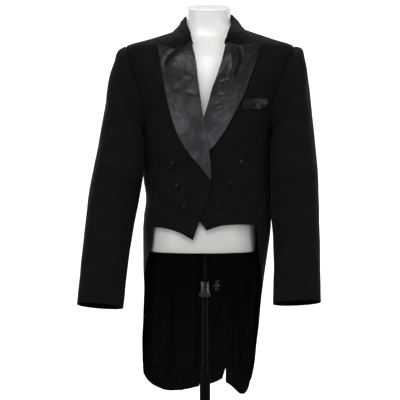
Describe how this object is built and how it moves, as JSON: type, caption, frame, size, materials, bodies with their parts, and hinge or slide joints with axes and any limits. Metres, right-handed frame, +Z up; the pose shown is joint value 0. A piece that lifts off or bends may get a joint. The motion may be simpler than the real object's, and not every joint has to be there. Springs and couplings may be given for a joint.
{
  "type": "tailcoat on dress form stand",
  "caption": "Black tailcoat with satin peak lapels on a white limbless dress form, carried by a telescopic pole stand.",
  "frame": {"origin": "centre of the stand base's underside, on the floor", "axes": "+Z up along the pole; the front of the coat faces -Y; +X is the wearer's left"},
  "size_m": [0.6255, 0.38, 1.5391],
  "materials": {
    "black_wool": "plain worsted wool, matte",
    "black_satin": "silk satin",
    "black_lining": "lining twill, faint sheen",
    "white_shell": "smooth, soft gloss",
    "dark_steel": "satin black paint",
    "bright_steel": "dark nickel plate, polished"
  },
  "bodies": {
    "stand": {"stand_base": "dark_steel", "stand_tube": "dark_steel", "clamp_collar": "bright_steel"},
    "screw": {"clamp_screw": "bright_steel"},
    "rod": {"height_rod": "dark_steel"},
    "form": {"form_flange": "dark_steel", "dress_form": "white_shell", "neck_cap": "white_shell", "front_right": "black_wool", "side_body_right": "black_wool", "back_right": "black_wool", "skirt_right": "black_wool", "tail_lining_right": "black_lining", "top_sleeve_right": "black_wool", "under_sleeve_right": "black_wool", "lapel_right": "black_satin", "front_left": "black_wool", "side_body_left": "black_wool", "back_left": "black_wool", "skirt_left": "black_wool", "tail_lining_left": "black_lining", "top_sleeve_left": "black_wool", "under_sleeve_left": "black_wool", "lapel_left": "black_satin", "collar": "black_wool", "breast_welt": "black_satin", "button_right_1": "black_satin", "button_right_2": "black_satin", "button_right_3": "black_satin", "button_left_1": "black_satin", "button_left_2": "black_satin", "button_left_3": "black_satin", "waist_button_right": "black_satin", "waist_button_left": "black_satin"}
  },
  "joints": [
    {"name": "height_slide", "type": "slide", "parent": "stand", "child": "rod", "axis": [0, 0, 1], "range_m": [-0.055, 0.25]},
    {"name": "form_turn", "type": "hinge", "parent": "rod", "child": "form", "pos_m": [0, 0, 0.8955], "axis": [0, 0, 1], "continuous": true},
    {"name": "screw_turn", "type": "hinge", "parent": "stand", "child": "screw", "pos_m": [0.019, 0, 0.805], "axis": [1, 0, 0], "range_deg": [-360, 0]}
  ]
}
